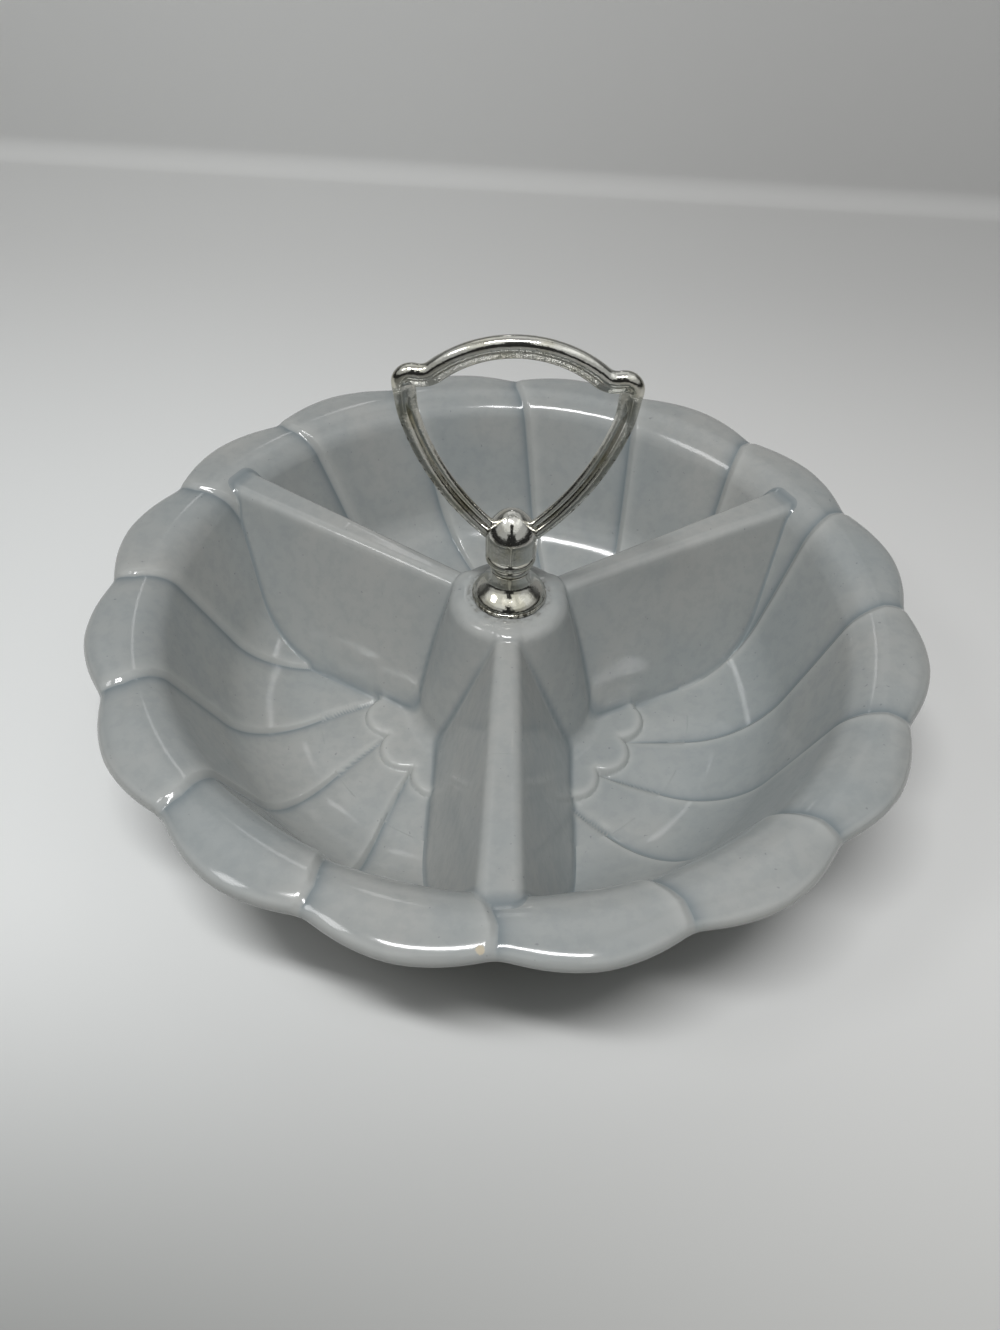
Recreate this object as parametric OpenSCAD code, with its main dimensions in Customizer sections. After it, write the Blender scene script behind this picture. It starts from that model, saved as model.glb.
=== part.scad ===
// Divided serving dish: a swirled, petalled ceramic bowl with three dividers that meet in a
// centre post, carried by a cast loop handle that one screw from below clamps to the post.
// Millimetres, +Z up. The origin is on the table, under the middle of the post, and the loop
// stands in the XZ plane. One divider runs to the front, which is -Y.

/* [Bowl] */
// Diameter over two opposite petal tips
dish_d = 281; // [260:1:320]
// Petals round the rim
petals = 16; // [12:1:20]
// How far a petal tip stands out past the notches between petals
scallop_depth = 4.5; // [1:0.5:8]
// Height of the rim's edge above the table
rim_h = 67; // [58:1:80]
// How far the rim band swells above its edge
rim_crown = 1.5; // [0.5:0.1:3]
// Width of the rim band from its notches in to where it rolls into the bowl
rim_band_w = 8; // [6:0.5:14]
// Radius of the roll from the rim band into the wall
roll_r = 15; // [10:0.5:18]
// How far the wall runs outwards from the floor to the rim band
wall_run = 56.5; // [52:0.5:62]
// Radius of the curve from the floor into the wall
floor_curve_r = 32; // [20:1:34]
// Height of the floor above the table
floor_h = 10; // [8:0.5:14]
// Thickness of the ceramic
wall_t = 6; // [4.5:0.25:7]

/* [Petals] */
// How deep the line beside each petal is
petal_lap = 1.3; // [0.5:0.1:2]
// Angle between a petal line and the radius it crosses
swirl_angle = 20; // [5:1:30]
// Diameter of the floor rosette in its notches
rosette_d = 94; // [86:1:104]
// How far the rosette's lobes stand out past its notches
rosette_lobe = 5.5; // [3:0.5:8]
// Height of the rosette above the floor
rosette_step = 2.2; // [1:0.1:3]

/* [Dividers and post] */
// Dividers, evenly spaced
dividers = 3; // [2:1:4]
// Width of a divider's ridge at the post
ridge_in_w = 9.5; // [8:0.5:14]
// Width of a divider's ridge at the rim
ridge_out_w = 15; // [10:0.5:20]
// Width of a divider at the floor
divider_foot_w = 50; // [40:1:54]
// Radius of the ridge's edges
ridge_edge_r = 3; // [1:0.25:4]
// How far the ridge lies below the top of the post
ridge_in_drop = 2.2; // [1:0.1:6]
// How far the ridge lies below the crown of the rim band
ridge_out_drop = 2.5; // [2:0.1:6]
// Height of the post above the table
post_h = 65.5; // [60:0.5:80]
// Diameter of the post at its shoulder
post_top_d = 42; // [36:1:48]
// Diameter of the post at the floor
post_foot_d = 64; // [58:1:72]
// Radius of the post's shoulder
post_shoulder_r = 6; // [3:0.5:8]
// Radius of the sweep from the post into the rosette
post_sweep_r = 7; // [3:0.5:8]
// Width across the round top of the hollow under a divider
hollow_top_w = 6; // [4:0.5:8]
// How far inside the flat of the floor the foot ring begins
foot_inset = 0.5; // [0:0.5:3]
// Width of the foot ring where it meets the table
foot_w = 4; // [3:0.5:6]
// How far the foot ring spreads, each side, up to the floor
foot_spread = 1.5; // [0.5:0.25:3]

/* [Handle] */
// Height of the handle from the top of the post to the crown of its loop
handle_h = 97.1; // [88:0.1:110]
// Width of the loop over its two ears
loop_w = 73; // [66:1:80]
// Radius of the arch, on the line midway through the bar
arch_r = 38; // [35:0.5:42]
// How far the ears' centres lie below the crown of the arch
ear_drop = 16; // [14:0.2:18]
// Radius of an ear, on the line midway through the bar
ear_r = 3.4; // [3.2:0.1:4.5]
// Radius of the step between the arch and an ear
step_r = 6; // [5:0.25:9]
// Radius of a leg, on the line midway through the bar
leg_r = 90; // [66:1:110]
// Width of the arch and ears, seen from the front
arch_w = 5.4; // [5:0.1:6]
// Width of a leg, seen from the front
leg_w = 6.4; // [5.6:0.1:7]
// Thickness of the round bead along the arch
bead_d = 4.2; // [3.5:0.1:4.6]
// Thickness of the fin inside the arch
fin_t = 2.2; // [1.5:0.1:3]
// Thickness of the flat band along a leg
band_t = 3.6; // [3:0.1:4.5]
// Width of that band, seen from the front
band_w = 3.4; // [2.8:0.1:3.8]
// Thickness of the rib inside a leg
rib_d = 2.6; // [2:0.1:2.8]
// Length over which an ear's bead fades into the leg
fade_l = 7; // [4:0.5:12]
// Diameter of the hub
hub_d = 17; // [15:0.5:20]
// Height of the hub's straight part
hub_h = 7.5; // [6:0.5:12]
// Height of the hub's nose
nose_h = 9; // [8:0.5:13]

/* [Collar and base] */
// Diameter of the collar's upper bead
collar_d = 16.8; // [14:0.2:20]
// Height of the collar
collar_h = 7.4; // [5:0.2:8]
// Diameter of the base where it stands on the post
base_d = 25.2; // [22:0.2:30]
// Height of the base
base_h = 12; // [9:0.1:14]
// Diameter of the base's neck
neck_d = 13; // [11:0.5:15]
// Thickness of the base's skirt
skirt_t = 1.6; // [1.2:0.1:2.2]
// Depth of the recess under the base
recess_h = 2; // [1.5:0.1:3]
// Gap kept between the metal skirt and the glaze
skirt_gap = 0.3; // [0.2:0.05:0.5]

/* [Screw and washers] */
// Diameter of the screw
screw_d = 5; // [4:0.5:6]
// Depth to which the screw enters the hub
screw_grip = 10; // [7:0.5:12]
// Diameter of the screw's head
head_d = 9.6; // [8:0.2:11]
// Height of the screw's head
head_h = 3.2; // [2.5:0.1:4]
// Width of the slot across the head
slot_w = 1.2; // [0.8:0.1:1.5]
// Depth of that slot
slot_h = 1.4; // [0.8:0.1:1.8]
// Diameter of the steel washer
washer_d = 16; // [13:0.5:18]
// Thickness of the steel washer
washer_t = 1.2; // [0.8:0.1:1.6]
// Thickness of the fibre washer between it and the ceramic
pad_t = 1.6; // [1:0.1:2.5]
// Thickness of the ceramic under the handle
seat_t = 7; // [5:0.5:9]
// Diameter of the hole through the ceramic
dish_hole_d = 7; // [6.5:0.25:8]
// Gap round the screw in the metal pieces and washers
screw_gap = 0.25; // [0.1:0.05:0.4]
// Depth of thread that the screw cuts into the hub
thread_bite = 0.2; // [0.1:0.05:0.3]

/* [Hidden] */
over = wall_t / 4;
curve_steps = 5;
lip_steps = 4;
round_steps = 6;
$fn = 96;

// Rim and wall
notch_r = dish_d / 2 - scallop_depth;
band_in_r = notch_r - rim_band_w;
floor_r = band_in_r - wall_run;
lip_r = wall_t / 2;
crown_h = rim_h + rim_crown;
wall_rise = crown_h - floor_h;
curves_r = floor_curve_r + roll_r;
wall_straight = sqrt(pow(wall_run, 2) + pow(wall_rise, 2) - 2 * wall_rise * curves_r);
wall_lean = atan2(wall_rise - curves_r, wall_run) + atan2(curves_r, wall_straight);
floor_mid_h = floor_h - wall_t / 2;
under_h = floor_h - wall_t;

// Rows of the skin over the floor, and the petals: [place across the petal, share of the lap's
// depth there]
floor_shares = [0, 0.35, 0.69];
lap_shares = [[0, 0.5], [0.04, 1], [0.17, 0.62], [0.36, 0.3], [0.6, 0.1], [0.82, 0.02], [0.96, 0]];
petal_a = 360 / petals;
swirl_rate = tan(swirl_angle) * 180 / PI;
rosette_r = rosette_d / 2;
rosette_tip_r = rosette_r + rosette_lobe;

// Dividers, post and the hollows below them
post_top_r = post_top_d / 2;
post_foot_r = post_foot_d / 2;
divider_in_r = post_top_r * 0.8;
foot_depth = wall_t * 0.65;
ridge_in_h = post_h - ridge_in_drop;
ridge_out_h = crown_h - ridge_out_drop;
side_slope = (divider_foot_w - ridge_in_w) / 2 / (ridge_in_h - floor_h);
side_t = wall_t * sqrt(1 + pow(side_slope, 2));
hollow_foot_w = divider_foot_w + 2 * side_slope * wall_t - 2 * side_t;
hollow_top_h = under_h + (hollow_foot_w - hollow_top_w) / 2 / side_slope;
foot_in_r = floor_r - foot_inset;
hollow_out_r = foot_in_r - foot_spread - wall_t;
ceiling_h = post_h - seat_t;

// The handle's stack, from the post up
base_z = post_h + skirt_gap;
collar_z = base_z + base_h;
hub_z = collar_z + collar_h;
nose_z = hub_z + hub_h;
cushion_t = recess_h + skirt_gap;
recess_d = base_d - 2 * skirt_t;
screw_clear_d = screw_d + 2 * screw_gap;
tap_d = screw_d - 2 * thread_bite;

// The loop, in its own plane as [x, z]: each arc's centre follows from the arcs it touches
arch_c = [0, post_h + handle_h - arch_w / 2 - arch_r];
ear_c = [loop_w / 2 - arch_w / 2 - ear_r, post_h + handle_h - ear_drop];
leg_end = [hub_d / 2 - leg_w / 2, nose_z];
step_c = crossing(arch_c, arch_r + step_r, ear_c, ear_r + step_r);
leg_c = crossing(leg_end, leg_r, ear_c, leg_r - ear_r);
leg_shares = [0.03, 0.07, 0.13, 0.2, 0.32, 0.44, 0.56, 0.68, 0.79, 0.9, 1];

// The point at r_a from a and r_b from b, on the left of the way from a to b
function crossing(a, r_a, b, r_b) = let(
    apart = norm(b - a),
    along = (pow(r_a, 2) - pow(r_b, 2) + pow(apart, 2)) / 2 / apart,
    aside = sqrt(pow(r_a, 2) - pow(along, 2)),
    way = (b - a) / apart)
    a + along * way + aside * [-way[1], way[0]];

// Direction from one point to another, in degrees
function bearing(from, to) = atan2(to[1] - from[1], to[0] - from[0]);

// Points on an arc in steps, from one angle to another
function arc(centre, r, from, to, steps) =
    [for (i = [0:steps]) let(a = from + (to - from) * i / steps) centre + r * [cos(a), sin(a)]];

// The inside of the bowl from floor to rim band, as [radius, height], moved t into the wall
function wall_line(t) = concat(
    arc([floor_r, floor_h + floor_curve_r], floor_curve_r + t, -90, wall_lean - 90, curve_steps),
    arc([band_in_r, crown_h - roll_r], roll_r - t, wall_lean + 90, 90, curve_steps));

function reversed(list) = [for (i = [len(list) - 1:-1:0]) list[i]];

// Section of the bowl at one place across a petal: up the inside, round the lip, down the outside
function bowl_section(place, lap) = let(
    edge_r = notch_r + scallop_depth * (1 - pow(2 * place - 1, 2)),
    lip_c = [edge_r - lip_r, rim_h - lip_r - lap / 2],
    floor = [for (share = floor_shares)
        [post_top_r + (floor_r - post_top_r) * share, floor_h - lap]],
    top = concat(floor, wall_line(lap)),
    crown = [[(band_in_r + lip_c[0]) / 2, crown_h - rim_crown / 4 - lap]])
    concat(top, crown, arc(lip_c, lip_r, 90, -90, lip_steps),
        reversed(wall_line(wall_t)), [[post_top_r, under_h]]);

// Degrees by which a petal line has turned back at radius r
function sweep(r) = r < band_in_r ? swirl_rate * ln(band_in_r / r) : 0;

function swirled(p, a) = [p[0] * cos(a - sweep(p[0])), p[0] * sin(a - sweep(p[0])), p[1]];

// Closed skin through equal closed sections that go once round
module ring_skin(sections) {
    turns = len(sections);
    rows = len(sections[0]);
    points = [for (s = sections) each s];
    faces = [for (j = [0:turns - 1]) for (i = [0:rows - 1]) let(
        a = j * rows + i,
        b = j * rows + (i + 1) % rows,
        c = (j + 1) % turns * rows + i,
        d = (j + 1) % turns * rows + (i + 1) % rows)
        each [[a, c, b], [b, c, d]]];
    polyhedron(points, faces);
}

// A section with two like sides, from the half of it beside the middle line as [along, aside]
function both_sides(half) = concat(half, reversed([for (p = half) [p[0], -p[1]]]));

// Closed skin through equal two-sided sections in a row, with a flat cap at each end
module loft(sections) {
    last = len(sections) - 1;
    rows = len(sections[0]);
    points = [for (s = sections) each s];
    walls = [for (j = [0:last - 1]) for (i = [0:rows - 1]) let(
        a = j * rows + i,
        b = j * rows + (i + 1) % rows)
        each [[a, b, a + rows], [b, b + rows, a + rows]]];
    caps = [for (i = [0:rows / 2 - 2]) let(c = rows - 1 - i, far = last * rows)
        each [[i, c, i + 1], [c, c - 1, i + 1],
              [far + i, far + i + 1, far + c], [far + c, far + i + 1, far + c - 1]]];
    polyhedron(points, concat(walls, caps));
}

// The petalled bowl, open in the middle where the post stands
module petal_bowl() {
    ring_skin([for (k = [0:petals - 1]) for (s = lap_shares)
        [for (p = bowl_section(s[0], petal_lap * s[1])) swirled(p, (k + s[0]) * petal_a - 90)]]);
}

// Raised flower on the floor, its notches on the petal lines
module rosette() {
    lobe_chord = rosette_r * sin(petal_a / 2);
    lobe_out = rosette_tip_r - rosette_r * cos(petal_a / 2);
    lobe_r = (pow(lobe_chord, 2) + pow(lobe_out, 2)) / 2 / lobe_out;
    rotate([0, 0, -90 - sweep(rosette_r)])
        translate([0, 0, floor_h - wall_t / 3])
            linear_extrude(rosette_step + wall_t / 3) {
                circle(rosette_r);
                for (k = [0:petals - 1])
                    rotate([0, 0, (k + 0.5) * petal_a])
                        translate([rosette_tip_r - lobe_r, 0])
                            circle(lobe_r);
            }
}

// Half section of a divider or of its hollow, as [height, half width], from foot_h up; its side
// would be foot_half wide at wide_h
function ridge_half(top_w, top_h, foot_half, wide_h, foot_h, edge_r) = let(
    lean = atan2(foot_half - top_w / 2, top_h - wide_h),
    edge = arc([top_w / 2 - edge_r, top_h - edge_r], edge_r, lean, 90, round_steps),
    slope = (foot_half - edge[0][0]) / (edge[0][1] - wide_h))
    concat([[foot_h, foot_half + slope * (wide_h - foot_h)]], [for (p = edge) [p[1], p[0]]]);

// The divider's section at r from the axis, cut flat or round the axis, down to foot_h
function divider_section(r, foot_h, flat = false) = let(
    out = (r - divider_in_r) / (band_in_r - divider_in_r),
    half = ridge_half(ridge_in_w + (ridge_out_w - ridge_in_w) * out,
        ridge_in_h + (ridge_out_h - ridge_in_h) * out,
        divider_foot_w / 2, floor_h, foot_h, ridge_edge_r))
    [for (p = both_sides(half)) [flat ? r : sqrt(pow(r, 2) - pow(p[1], 2)), -p[1], p[0]]];

// From inside the post to where the ridge dips under the rim band, its foot inside the wall
module divider() {
    foot_line = [for (p = wall_line(foot_depth)) if (p[1] < ridge_out_h - ridge_edge_r) p];
    loft(concat([divider_section(divider_in_r, floor_h - foot_depth, true)],
        [for (p = foot_line) divider_section(p[0], p[1])]));
}

module divider_hollow() {
    half = ridge_half(hollow_top_w, hollow_top_h, hollow_foot_w / 2, under_h, -over,
        hollow_top_w / 2 - over / 4);
    rotate([90, 0, 90])
        linear_extrude(hollow_out_r)
            polygon([for (p = both_sides(half)) [p[1], p[0]]]);
}

module each_divider() {
    for (k = [0:dividers - 1])
        rotate([0, 0, 360 / dividers * k - 90])
            children();
}

module post() {
    top_h = floor_h + rosette_step;
    rotate_extrude()
        polygon(concat(
            [[0, floor_mid_h - over], [post_foot_r + post_sweep_r, floor_mid_h - over]],
            arc([post_foot_r + post_sweep_r, top_h + post_sweep_r], post_sweep_r, 270, 180, round_steps),
            arc([post_top_r - post_shoulder_r, post_h - post_shoulder_r], post_shoulder_r, 0, 90,
                round_steps),
            [[0, post_h]]));
}

module post_hollow() {
    corner_r = post_shoulder_r / 2;
    rotate_extrude()
        polygon(concat(
            [[0, -over], [post_foot_r - wall_t + over / 2, -over], [post_foot_r - wall_t, floor_h]],
            arc([post_top_r - wall_t - corner_r, ceiling_h - corner_r], corner_r, 0, 90, round_steps),
            [[0, ceiling_h]]));
}

module foot_ring() {
    top_h = under_h + wall_t / 3;
    rotate_extrude()
        polygon([[foot_in_r, 0], [foot_in_r + foot_w, 0], [foot_in_r + foot_w + foot_spread, top_h],
            [foot_in_r - foot_spread, top_h]]);
}

// Glazed ceramic, cast in one piece
module dish() {
    color([0.74, 0.78, 0.82])
        difference() {
            union() {
                petal_bowl();
                rosette();
                post();
                foot_ring();
                each_divider() divider();
            }
            post_hollow();
            each_divider() divider_hollow();
            cylinder(d = dish_hole_d, h = post_h + over);
        }
}

// Flat ring that the screw passes through
module washer(d, hole_d, t) {
    difference() {
        cylinder(d = d, h = t);
        translate([0, 0, -over])
            cylinder(d = hole_d, h = t + 2 * over);
    }
}

// Soft washer that keeps the metal off the glaze
module base_cushion() {
    color([0.2, 0.2, 0.2])
        translate([0, 0, post_h])
            washer(recess_d - 2 * skirt_gap, screw_clear_d, cushion_t);
}

// Flared base: skirt, dome and neck as [share of the way out from the neck, share of the height]
base_shares = [[1, 0], [1, 0.12], [0.95, 0.21], [0.78, 0.31], [0.54, 0.4], [0.32, 0.5],
               [0.16, 0.62], [0.05, 0.78], [0, 0.9], [0, 1]];
module base_ferrule() {
    spread = (base_d - neck_d) / 2;
    color([0.78, 0.77, 0.73])
        translate([0, 0, base_z])
            difference() {
                rotate_extrude()
                    polygon(concat([[0, 0]],
                        [for (s = base_shares) [neck_d / 2 + spread * s[0], base_h * s[1]]],
                        [[0, base_h]]));
                translate([0, 0, -over])
                    cylinder(d = recess_d, h = recess_h + over);
                cylinder(d = screw_clear_d, h = base_h + over);
            }
}

// Turned ring of two beads, the upper one larger
module collar() {
    upper_r = collar_h * 0.3;
    lower_r = collar_h / 2 - upper_r;
    step = upper_r - lower_r;
    color([0.8, 0.79, 0.75])
        translate([0, 0, collar_z])
            difference() {
                union() {
                    cylinder(d = neck_d, h = collar_h);
                    cylinder(d = collar_d - 2 * upper_r - 2 * step, h = 2 * lower_r);
                    translate([0, 0, 2 * lower_r])
                        cylinder(d = collar_d - 2 * upper_r, h = 2 * upper_r);
                    bead_ring(collar_d / 2 - upper_r, upper_r, collar_h - upper_r);
                    bead_ring(collar_d / 2 - upper_r - step, lower_r, lower_r);
                }
                translate([0, 0, -over])
                    cylinder(d = screw_clear_d, h = collar_h + 2 * over);
            }
}

module bead_ring(at_r, r, z) {
    translate([0, 0, z])
        rotate_extrude()
            translate([at_r, 0])
                circle(r);
}

// Half section of the bar in the arch and ears, as [outwards, half thickness]: a round bead with
// a thin fin inside it
function arch_half() = concat(
    arc([arch_w / 2 - bead_d / 2, 0], bead_d / 2, 12, 142, 5),
    arc([fin_t / 2 - arch_w / 2, 0], fin_t / 2, 90, 160, 2));

// The same for a leg: a flat band outside, a groove, and a round rib inside
function leg_half() = let(
    out = leg_w / 2,
    side = band_t / 2,
    edge = band_t / 6)
    concat(
        [[out, side / 2], [out - edge / 3, side - edge / 2], [out - edge, side],
            [out - band_w / 2, side], [out - band_w + edge, side], [out - band_w, rib_d / 4]],
        arc([rib_d / 2 - out, 0], rib_d / 2, 80, 160, 2));

// Stations of the bar past the start of an arc: [place, bearing of its outer side, share of the
// leg's section]
function stations(centre, r, from, to, steps, turned = 0) =
    [for (i = [1:steps]) let(a = from + (to - from) * i / steps)
        [centre + r * [cos(a), sin(a)], a + turned, 0]];

// The same down a leg, closer together at its top, where the ear's bead fades into it
function leg_stations() = let(
    from = bearing(leg_c, ear_c),
    to = bearing(leg_c, leg_end),
    fade_a = fade_l / leg_r * 180 / PI)
    [for (share = leg_shares) let(a = from + (to - from) * share)
        [leg_c + leg_r * [cos(a), sin(a)], a, min(1, (from - a) / fade_a)]];

// Half of the loop: from the crown out over the step and the ear and down the leg
function half_loop() = let(
    arch_end = bearing(arch_c, step_c),
    ear_start = bearing(ear_c, step_c))
    concat(
        [[arch_c + [0, arch_r], 90, 0]],
        stations(arch_c, arch_r, 90, arch_end, 7),
        stations(step_c, step_r, arch_end + 180, ear_start + 180, 3, 180),
        stations(ear_c, ear_r, ear_start, bearing(leg_c, ear_c), 7),
        leg_stations());

function bar_section(station) = let(
    out = [cos(station[1]), sin(station[1])],
    arch = both_sides(arch_half()),
    leg = both_sides(leg_half()))
    [for (i = [0:len(arch) - 1]) let(
        p = arch[i] + (leg[i] - arch[i]) * station[2],
        place = station[0] + out * p[0])
        [place[0], p[1], place[1]]];

// The loop in one sweep, from the left leg's foot over the crown to the right leg's
module loop() {
    right = half_loop();
    left = [for (i = [len(right) - 1:-1:1]) let(s = right[i])
        [[-s[0][0], s[0][1]], 180 - s[1], s[2]]];
    loft([for (s = concat(left, right)) bar_section(s)]);
}

// Round hub with a pointed nose, tapped from below
module hub() {
    r = hub_d / 2;
    nose_shares = [[1, 0], [0.98, 0.12], [0.92, 0.28], [0.82, 0.45], [0.68, 0.62], [0.5, 0.78],
                   [0.3, 0.91], [0.12, 0.985], [0, 1]];
    rotate_extrude()
        polygon(concat([[0, hub_z], [r - over / 2, hub_z], [r, hub_z + over / 2]],
            [for (s = nose_shares) [r * s[0], nose_z + nose_h * s[1]]]));
}

// Loop and hub, cast in one piece
module handle() {
    color([0.8, 0.79, 0.75])
        difference() {
            union() {
                hub();
                loop();
            }
            translate([0, 0, hub_z - over])
                cylinder(d = tap_d, h = screw_grip + 2 * over);
        }
}

module fibre_washer() {
    color([0.35, 0.27, 0.2])
        translate([0, 0, ceiling_h - pad_t])
            washer(washer_d, screw_clear_d, pad_t);
}

module steel_washer() {
    color([0.7, 0.7, 0.7])
        translate([0, 0, ceiling_h - pad_t - washer_t])
            washer(washer_d, screw_clear_d, washer_t);
}

// Slotted screw, head down, that draws the handle onto the post
module clamp_screw() {
    head_z = ceiling_h - pad_t - washer_t - head_h;
    color([0.65, 0.65, 0.66])
        difference() {
            translate([0, 0, head_z])
                union() {
                    cylinder(d1 = head_d * 0.8, d2 = head_d, h = head_h / 3);
                    translate([0, 0, head_h / 3])
                        cylinder(d = head_d, h = head_h * 2 / 3);
                    cylinder(d = screw_d, h = hub_z + screw_grip - head_z);
                }
            translate([-head_d, -slot_w / 2, head_z - over])
                cube([2 * head_d, slot_w, slot_h + over]);
        }
}

dish();
base_cushion();
base_ferrule();
collar();
handle();
fibre_washer();
steel_washer();
clamp_screw();
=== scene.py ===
"""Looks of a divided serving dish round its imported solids: a petalled, glazed bowl with three
dividers that meet in a post, and a cast loop handle clamped to the post by a screw from below."""
import math

import bpy
import numpy as np
from mathutils import Matrix, Vector


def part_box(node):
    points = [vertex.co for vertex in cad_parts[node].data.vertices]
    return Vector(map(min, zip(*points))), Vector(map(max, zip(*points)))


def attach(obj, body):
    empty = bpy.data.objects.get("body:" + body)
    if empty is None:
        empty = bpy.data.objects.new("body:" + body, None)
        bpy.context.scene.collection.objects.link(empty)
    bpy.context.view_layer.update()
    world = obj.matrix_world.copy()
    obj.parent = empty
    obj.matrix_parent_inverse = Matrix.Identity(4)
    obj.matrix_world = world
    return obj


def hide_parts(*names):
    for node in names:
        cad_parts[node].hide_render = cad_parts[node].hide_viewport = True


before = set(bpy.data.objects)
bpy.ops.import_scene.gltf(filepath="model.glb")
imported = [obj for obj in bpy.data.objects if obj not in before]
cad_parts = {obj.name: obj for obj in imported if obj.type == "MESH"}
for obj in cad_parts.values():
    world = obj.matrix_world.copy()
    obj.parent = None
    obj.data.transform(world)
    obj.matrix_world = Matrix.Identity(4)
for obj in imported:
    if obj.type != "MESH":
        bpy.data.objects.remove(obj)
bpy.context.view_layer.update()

# The camera is about 34 cm away, in front of the dish and above it, and rolled a little about its
# own line of sight. It looks at a point just in front of the middle of the rim.
look_at = Vector((-0.0022, -0.0349, 0.067))
look_from = 0.3398
look_down = math.radians(46.35)
camera_roll = math.radians(2.1)
camera = bpy.data.objects.new("photo_camera", bpy.data.cameras.new("photo_camera"))
camera.data.lens = 28.87
camera.data.sensor_width = 36.0
camera.data.clip_start = 0.02
towards_camera = Vector((0, -math.cos(look_down), math.sin(look_down)))
turn = Matrix.Rotation(math.pi / 2 - look_down, 4, "X") @ Matrix.Rotation(camera_roll, 4, "Z")
camera.matrix_world = Matrix.Translation(look_at + towards_camera * look_from) @ turn
bpy.context.scene.collection.objects.link(camera)
bpy.context.scene.camera = camera
bpy.context.scene.view_settings.view_transform = "Standard"

# The table and the wall behind it are one white sheet that bends up, a little further away on the
# left than on the right. Its grey is palest beside the dish on the left; the deeper grey to the right,
# in front and behind is painted shade, and a darker disc under the dish is a painted shadow.
sheet_near = -1.2
sheet_bend = 0.486
sheet_bend_r = 0.014
sheet_slant = 0.055
sheet_half_w = 1.6
sheet_h = 0.25
before_bend_share = 0.85
after_bend_share = 0.89


def sheet_line(share):
    """Side view of the sheet at shares from 0 to 1: flat, a quarter circle, then upright."""
    flat, bend = sheet_bend - sheet_near, sheet_bend_r * math.pi / 2
    along = share * (flat + bend + sheet_h)
    angle = np.clip((along - flat) / sheet_bend_r, 0, math.pi / 2)
    y = sheet_near + np.minimum(along, flat) + sheet_bend_r * np.sin(angle)
    z = sheet_bend_r * (1 - np.cos(angle)) + np.maximum(along - flat - bend, 0)
    return y, z


sheet_shares = np.concatenate([
    np.linspace(0, before_bend_share, 5),
    np.linspace(before_bend_share, after_bend_share, 41)[1:], [1.0]])
sheet_y, sheet_z = sheet_line(sheet_shares)
sheet_points = [(x, y - x * sheet_slant, z) for y, z in zip(sheet_y, sheet_z)
                for x in (-sheet_half_w, sheet_half_w)]
sheet_faces = [(2 * i, 2 * i + 1, 2 * i + 3, 2 * i + 2) for i in range(len(sheet_shares) - 1)]
sheet_mesh = bpy.data.meshes.new("table_sheet")
sheet_mesh.from_pydata(sheet_points, [], sheet_faces)
sheet_mesh.shade_smooth()
table_sheet = bpy.data.objects.new("table_sheet", sheet_mesh)
bpy.context.scene.collection.objects.link(table_sheet)


def new_material(name):
    """A node material, its tree and a Principled shader joined to the output."""
    material = bpy.data.materials.new(name)
    material.use_nodes = True
    tree = material.node_tree
    return material, tree, tree.nodes["Principled BSDF"]


def put(tree, kind, **settings):
    """A node of a kind in a tree. Names with a capital are its inputs, others its properties."""
    node = tree.nodes.new(kind)
    for name, value in settings.items():
        if name[0].isupper():
            node.inputs[name.replace("_", " ")].default_value = value
        else:
            setattr(node, name, value)
    return node


def mix_colour(tree, factor, a, b, blend_type="MIX"):
    """Output of a colour mix, where each of factor, a and b is a socket or a plain value."""
    node = put(tree, "ShaderNodeMix", data_type="RGBA", blend_type=blend_type)
    for socket, value in ((node.inputs[0], factor), (node.inputs[6], a), (node.inputs[7], b)):
        if isinstance(value, bpy.types.NodeSocket):
            tree.links.new(value, socket)
        else:
            socket.default_value = value
    return node.outputs[2]


def maths(tree, operation, a, b=0.0, c=0.0):
    """Output of a maths node, where a, b and c are sockets or numbers."""
    node = put(tree, "ShaderNodeMath", operation=operation)
    for socket, value in zip(node.inputs, (a, b, c)):
        if isinstance(value, bpy.types.NodeSocket):
            tree.links.new(value, socket)
        else:
            socket.default_value = value
    return node.outputs[0]


def ramp(tree, value, low, high):
    """Output that goes smoothly from 0 at low to 1 at high."""
    node = put(tree, "ShaderNodeMapRange", interpolation_type="SMOOTHSTEP")
    node.inputs[1].default_value = low
    node.inputs[2].default_value = high
    tree.links.new(value, node.inputs[0])
    return node.outputs[0]


def along_axis(tree, axis, low, high):
    """Output that goes smoothly from 0 to 1 as an object coordinate goes from low to high."""
    place = put(tree, "ShaderNodeTexCoord")
    split = put(tree, "ShaderNodeSeparateXYZ")
    tree.links.new(place.outputs["Object"], split.inputs[0])
    return ramp(tree, split.outputs[axis], low, high)


sheet_paper, tree, shader = new_material("white_sheet")
shader.inputs["Roughness"].default_value = 0.9
shader.inputs["Specular IOR Level"].default_value = 0.1
rightwards = along_axis(tree, "X", -0.2, 0.25)
rightwards_near = along_axis(tree, "X", -0.16, 0.26)
# Painted shade: in front of the dish the sheet is much darker, most of all on the left, and behind it a
# little darker.
paper_near_shade = mix_colour(tree, rightwards_near, (0.25, 0.255, 0.245, 1), (0.67, 0.67, 0.65, 1))
paper_beside = mix_colour(tree, rightwards, (0.93, 0.945, 0.94, 1), (0.86, 0.86, 0.85, 1))
paper_behind_shade = mix_colour(tree, rightwards, (0.83, 0.835, 0.825, 1), (0.74, 0.74, 0.73, 1))
paper = mix_colour(tree, along_axis(tree, "Y", -0.07, -0.27), paper_beside, paper_near_shade)
paper = mix_colour(tree, along_axis(tree, "Y", 0.08, 0.40), paper, paper_behind_shade)
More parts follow.
